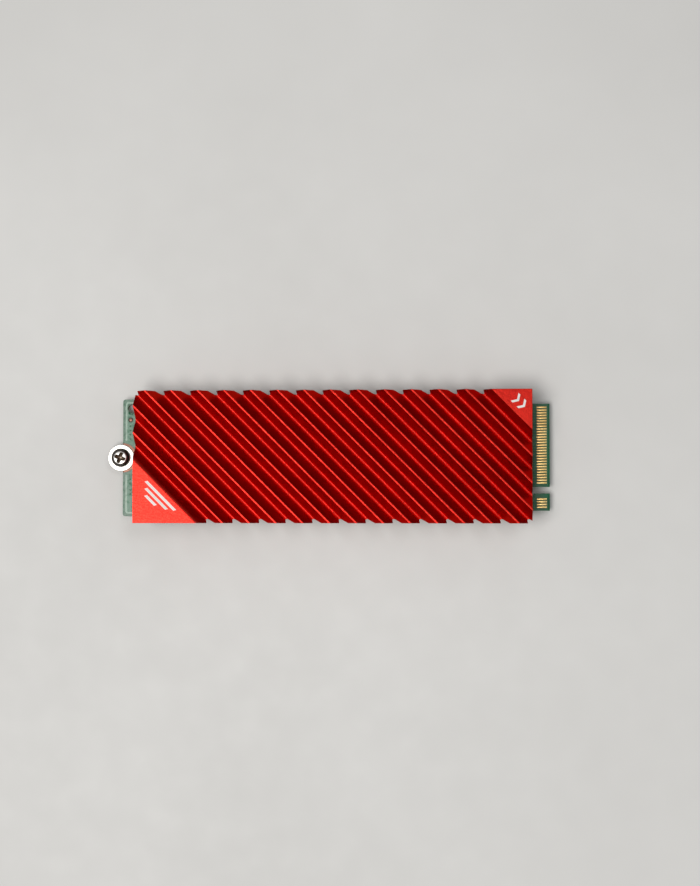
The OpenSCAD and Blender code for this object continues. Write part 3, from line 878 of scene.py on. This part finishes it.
def washer():
    rim, tall = (WASHER_HIGH.x - WASHER_LOW.x) / 2, WASHER_HIGH.z - WASHER_LOW.z - 0.012
    section = rounded([(0.90, 0.0), (rim, 0.0), (rim, tall), (0.90, tall)], [0.05, 0.03, 0.10, 0.05],
                      4, True)
    bm = bmesh.new()
    add_lathe(bm, [(r, WASHER_LOW.z + z) for r, z in section + section[:1]], AXIS, 128)
    bmesh.ops.remove_doubles(bm, verts=bm.verts, dist=1e-5)
    piece("captive_washer_turned", to_mesh(bm, "captive_washer_turned", 40), LOOKS["nickel_steel"],
          "washer", ["captive_washer"])


washer()


def cross_outline(arm, half):
    """A rounded four-armed cross: arm is its reach and half is half its arms' width."""
    outline = []
    for quarter in range(4):
        turn = Matrix.Rotation(math.radians(-90 * quarter), 2)
        bend, wide = arm - half * 0.5, half * 0.92
        tip = [(bend, wide)]
        tip += [(bend + half * 0.5 * math.cos(math.radians(a)), wide * math.sin(math.radians(a)))
                for a in (60, 25, -25, -60)]
        tip += [(bend, -wide)]
        inner = rounded([(arm * 0.6, -half), (half, -half), (half, -arm * 0.6)], 0.16, 5)
        outline += [tuple(turn @ Vector(p)) for p in tip + inner]
    return outline


def screw_head():
    """A pan head with its cross recess cut out of it."""
    radius = (SCREW_HIGH.x - SCREW_LOW.x) / 2
    top, curve = HEAD_TALL, 0.82
    section = [(0.0, 0.0), (radius - 0.06, 0.0), (radius, 0.06), (radius, top - curve - 0.02)]
    section += [(radius - curve + curve * math.sin(math.radians(tilt)),
                 top - 0.02 - curve * (1 - math.cos(math.radians(tilt)))) for tilt in range(82, -1, -8)]
    section += [(0.9, top - 0.012), (0.5, top - 0.003), (0.0, top)]
    bm = bmesh.new()
    add_lathe(bm, section, (0, 0), 128)
    bmesh.ops.remove_doubles(bm, verts=bm.verts, dist=1e-5)
    cutter = bmesh.new()
    rings = []
    for arm, half, z in ((1.12, 0.36, top + 0.10), (1.07, 0.34, top - 0.02), (0.93, 0.29, top - 0.55),
                         (0.66, 0.23, top - 0.88), (0.16, 0.09, top - 1.10)):
        rings.append([cutter.verts.new((x, y, z)) for x, y in cross_outline(arm, half)])
    skin(cutter, rings)
    cutter.faces.new(rings[0])
    cutter.faces.new(rings[-1][::-1])
    turn = Matrix.Rotation(math.radians(-20), 3, "Z")
    bmesh.ops.rotate(cutter, cent=(0, 0, 0), matrix=turn, verts=cutter.verts)
    done = carved(bm, cutter, "DIFFERENCE")
    done.normal_update()
    lip = [e for e in done.edges if e.calc_face_angle(0) > 0.7 and
           min(v.co.z for v in e.verts) > top - 0.12 and
           max(math.hypot(v.co.x, v.co.y) for v in e.verts) < 1.25]
    bmesh.ops.bevel(done, geom=lip, offset=0.035, segments=2, profile=0.5, affect="EDGES",
                    clamp_overlap=False)
    return done


def add_thread(bm, low, high, outer, inner, pitch, steps=48, rows=8):
    """A right-hand thread of true helical rows, fading into its core at both ends."""
    turns = math.ceil((high - low) / pitch) + 2
    shape = (0.0, 0.0, 0.35, 0.85, 1.0, 0.85, 0.35, 0.0)
    grid = {}
    for k in range(turns * rows + 1):
        for i in range(steps):
            z = low + pitch * (k / rows - 1 + i / steps)
            held = min(max(z, low), high)
            fade = min(1.0, max(0.0, (held - low) / 0.22), max(0.0, (high - held) / 0.18))
            radius = inner + (outer - inner) * shape[k % rows] * fade
            angle = 2 * math.pi * i / steps
            grid[k, i] = bm.verts.new((radius * math.cos(angle), radius * math.sin(angle), held))
    for k in range(turns * rows):
        for i in range(steps):
            if i + 1 < steps:
                corners = (grid[k, i], grid[k, i + 1], grid[k + 1, i + 1], grid[k + 1, i])
            elif k + rows + 1 <= turns * rows:
                corners = (grid[k, i], grid[k + rows, 0], grid[k + rows + 1, 0], grid[k + 1, i])
            else:
                continue
            bm.faces.new(corners)
    for k in (0, turns * rows):
        bm.faces.new([grid[k, i] for i in range(steps)])


def screw():
    """The head, the plain neck that the washer runs on, and the thread, drawn from the head's foot."""
    bm = screw_head()
    tip, neck_foot = SCREW_LOW.z - UNDER_HEAD, -0.4
    neck, outer, inner, pitch = 0.82, 1.0, 0.76, 0.4
    add_lathe(bm, [(0.0, 0.02), (neck, 0.02), (neck, neck_foot + 0.08), (inner, neck_foot - 0.02),
                   (0.0, neck_foot - 0.02)], (0, 0), 64)
    add_thread(bm, tip + 0.10, neck_foot, outer, inner, pitch)
    add_lathe(bm, [(0.0, tip), (inner - 0.12, tip), (inner - 0.01, tip + 0.11), (0.0, tip + 0.3)],
              (0, 0), 48)
    bmesh.ops.remove_doubles(bm, verts=bm.verts, dist=1e-4)
    bmesh.ops.dissolve_degenerate(bm, edges=bm.edges, dist=1e-5)
    bmesh.ops.translate(bm, vec=(AXIS[0], AXIS[1], UNDER_HEAD), verts=bm.verts)
    steel = screw_steel(AXIS[0], UNDER_HEAD, SCREW_HIGH.z)
    piece("retaining_screw_turned", to_mesh(bm, "retaining_screw_turned", 38), steel,
          "screw", ["retaining_screw"])


screw()


# ------------------------------------------------------------------ CAD nodes that stay

slot_of = {s["node"]: s["material_slot"] for s in frame["record"]["subparts"]}
EDGE_ROUNDING = {
    "circuit_board": 0.03, "edge_contacts_top": 0.012, "edge_contacts_bottom": 0.012,
    "screw_land_top": 0.012, "screw_land_bottom": 0.012,
}
for name, obj in nodes.items():
    if obj.hide_render:
        continue
    obj.material_slots[0].material = LOOKS[slot_of[name]]
    soften(obj, EDGE_ROUNDING.get(name, 0.04), 2, 35, weld=True)


# ------------------------------------------------------------------ room, light and camera

def floor():
    look = Look("floor_pale", (0.72, 0.71, 0.69), 0.6)
    look.colour(look.spread(look.noise(60.0, 3.0), 0, 1), (0.70, 0.69, 0.67), (0.75, 0.74, 0.72))
    look.rough(look.noise(6.0, 2.0), 0.55, 0.7)
    bm = bmesh.new()
    reach, level = 2000, -0.02   # just below the drive's lowest face
    bm.faces.new([bm.verts.new((x, y, level)) for x, y in (
        (-reach, -reach), (reach, -reach), (reach, reach), (-reach, reach))])
    made = bpy.data.objects.new("floor", to_mesh(bm, "floor"))
    scene.collection.objects.link(made)
    made.data.materials.append(look.material)


floor()


def softbox(name, place, size, watts, colour):
    """An area light over the drive that faces it; its first size runs along the grooves."""
    side = Vector((1, -1, 0))
    lamp = bpy.data.lights.new(name, "AREA")
    lamp.shape, lamp.size, lamp.size_y = "RECTANGLE", size[0], size[1]
    lamp.energy, lamp.color = watts, colour
    made = bpy.data.objects.new(name, lamp)
    back = Vector(place).normalized()
    across = (side - back * back.dot(side)).normalized()
    turn = Matrix((across, back.cross(across), back)).transposed().to_4x4()
    made.matrix_world = Matrix.Translation(place) @ turn
    scene.collection.objects.link(made)


softbox("key", (-0.140, -0.085, 0.60), (0.38, 0.22), 2.35, (1.0, 0.985, 0.96))
softbox("fill", (0.17, 0.15, 0.58), (0.18, 0.10), 0.27, (0.98, 0.99, 1.0))

world = bpy.data.worlds.new("studio")
scene.world = world
world.use_nodes = True
world.node_tree.nodes["Background"].inputs["Color"].default_value = (0.96, 0.98, 1.0, 1)
world.node_tree.nodes["Background"].inputs["Strength"].default_value = 0.28
scene.view_settings.view_transform = "Standard"

camera = bpy.data.cameras.new("camera")
camera.lens = 76.14
camera.clip_start, camera.clip_end = 0.01, 20
viewer = bpy.data.objects.new("camera", camera)
viewer.location = (0.0309, -0.01075, 0.35097)
viewer.rotation_euler = (0.0385, 0.0761, 0.0007)
scene.collection.objects.link(viewer)
scene.camera = viewer
